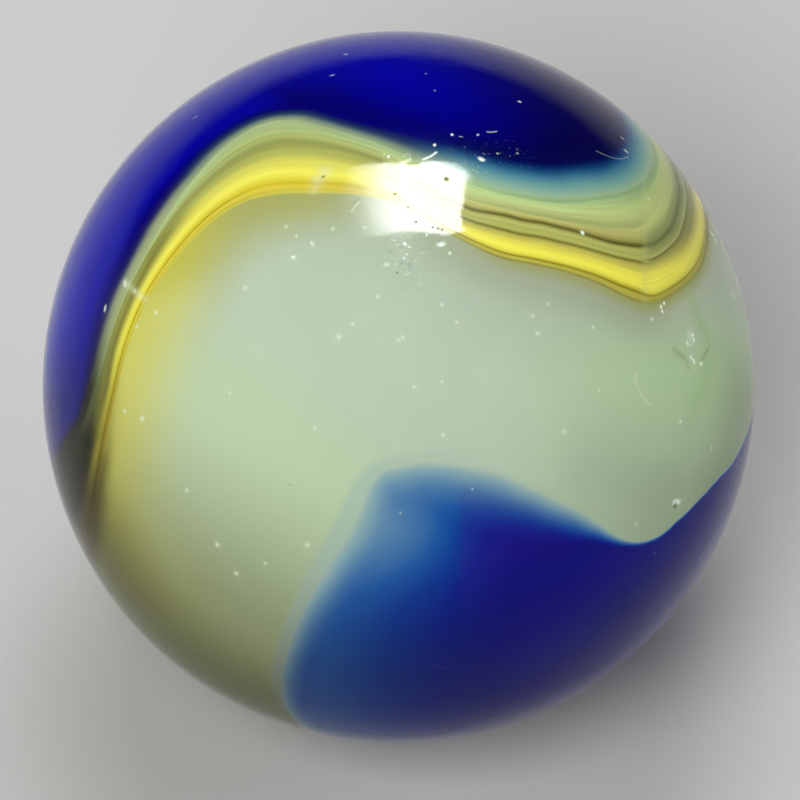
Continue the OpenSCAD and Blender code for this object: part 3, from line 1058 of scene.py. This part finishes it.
def face_ball(obj, roll=0.0):
    """Point a camera or lamp at the ball with its right side along X, then roll it."""
    back = obj.location.normalized()
    level = Vector((1, 0, 0))
    right = (level - back * level.dot(back)).normalized()
    turned = right * math.cos(roll) + back.cross(right) * math.sin(roll)
    up = back.cross(turned)
    obj.rotation_euler = Matrix((turned, up, back)).transposed().to_euler()


cam_data = bpy.data.cameras.new("camera")
camera = add_object("camera", cam_data)
camera.location = Vector(FACE_OUT) * CAMERA_DISTANCE
face_ball(camera)
half_frame = BALL_RADIUS * FRAME_PIXELS / 2 / BALL_RADIUS_PIXELS
cam_data.sensor_width = SENSOR_WIDTH
cam_data.lens = SENSOR_WIDTH / 2 * CAMERA_DISTANCE / half_frame
cam_data.shift_x = (FRAME_PIXELS / 2 - BALL_CENTRE_PIXELS[0]) / FRAME_PIXELS
cam_data.shift_y = (BALL_CENTRE_PIXELS[1] - FRAME_PIXELS / 2) / FRAME_PIXELS
bpy.context.scene.camera = camera

floor_mesh = bpy.data.meshes.new("floor")
w, z = FLOOR_HALF_WIDTH, -BALL_RADIUS
floor_mesh.from_pydata([(-w, -w, z), (w, -w, z), (w, w, z), (-w, w, z)], [], [(0, 1, 2, 3)])
floor = add_object("floor", floor_mesh)
floor_paper = new_material("floor_paper")
paper = Shading(floor_paper.node_tree)
place = paper.node("TexCoord", {})["Object"]
from_centre = paper.node("VectorMath", {0: place}, operation="LENGTH")["Value"]
far = paper.step(from_centre, FLOOR_NEAR, FLOOR_FAR)
tone = paper.node("Mix", {0: far, 6: FLOOR_COLOUR, 7: FLOOR_FAR_COLOUR}, data_type="RGBA")[2]
paper.feed(paper.principled, {"Base Color": tone, "Roughness": FLOOR_ROUGHNESS})
floor_mesh.materials.append(floor_paper)

world = bpy.data.worlds.new("world")
world.use_nodes = True
sky = world.node_tree.nodes["Background"]
paper.feed(sky, {"Color": (1, 1, 1, 1), "Strength": WORLD_LEVEL})
bpy.context.scene.world = world
bpy.context.scene.view_settings.view_transform = "Standard"

solid_angle = (LAMP_SIZE / LAMP_DISTANCE) ** 2
for name, direction, share in LAMPS:
    lamp_data = bpy.data.lights.new(name, "AREA")
    lamp_data.size = LAMP_SIZE
    lamp_data.energy = share * math.pi / solid_angle * math.pi * LAMP_SIZE ** 2
    lamp = add_object(name, lamp_data)
    lamp.location = Vector(direction).normalized() * LAMP_DISTANCE
    face_ball(lamp)
    lamp.visible_camera = False
    lamp.visible_glossy = False


def shape_softbox(data):
    """Round the softbox's corners, fade its left side and mottle it, as its cloth does."""
    data.use_nodes = True
    s = Shading(data.node_tree)
    place = s.node("NewGeometry", {})["Parametric"]
    parts = s.node("SeparateXYZ", {0: place})
    outside = []
    for part, size in ((parts["X"], SOFTBOX_WIDTH), (parts["Y"], SOFTBOX_HEIGHT)):
        off_middle = s.times(s.math("ABSOLUTE", s.minus(part, 0.5)), size)
        outside.append(s.most(s.minus(off_middle, size / 2 - SOFTBOX_CORNER), 0.0))
    squares = s.add(s.times(outside[0], outside[0]), s.times(outside[1], outside[1]))
    distance = s.minus(s.math("SQRT", squares), SOFTBOX_CORNER)
    mottle = s.noise(place, scale=MOTTLE_SCALE, detail=4.0)
    cloth = s.times(s.step(distance, 0.0, -SOFTBOX_EDGE), s.step(parts["X"], *SOFTBOX_FADE),
                    s.add(1.0, s.times(mottle, MOTTLE_SHARE)))
    s.feed(data.node_tree.nodes["Emission"], {"Strength": cloth})


softbox_data = bpy.data.lights.new("softbox", "AREA")
softbox_data.shape = "RECTANGLE"
softbox_data.size = SOFTBOX_WIDTH
softbox_data.size_y = SOFTBOX_HEIGHT
softbox_data.energy = SOFTBOX_RADIANCE * math.pi * SOFTBOX_WIDTH * SOFTBOX_HEIGHT
softbox = add_object("softbox", softbox_data)
softbox.location = Vector(SOFTBOX_DIRECTION) * SOFTBOX_DISTANCE + SOFTBOX_OFFSET
face_ball(softbox, math.radians(SOFTBOX_ROLL))
shape_softbox(softbox_data)
softbox.visible_camera = False
softbox.visible_diffuse = False
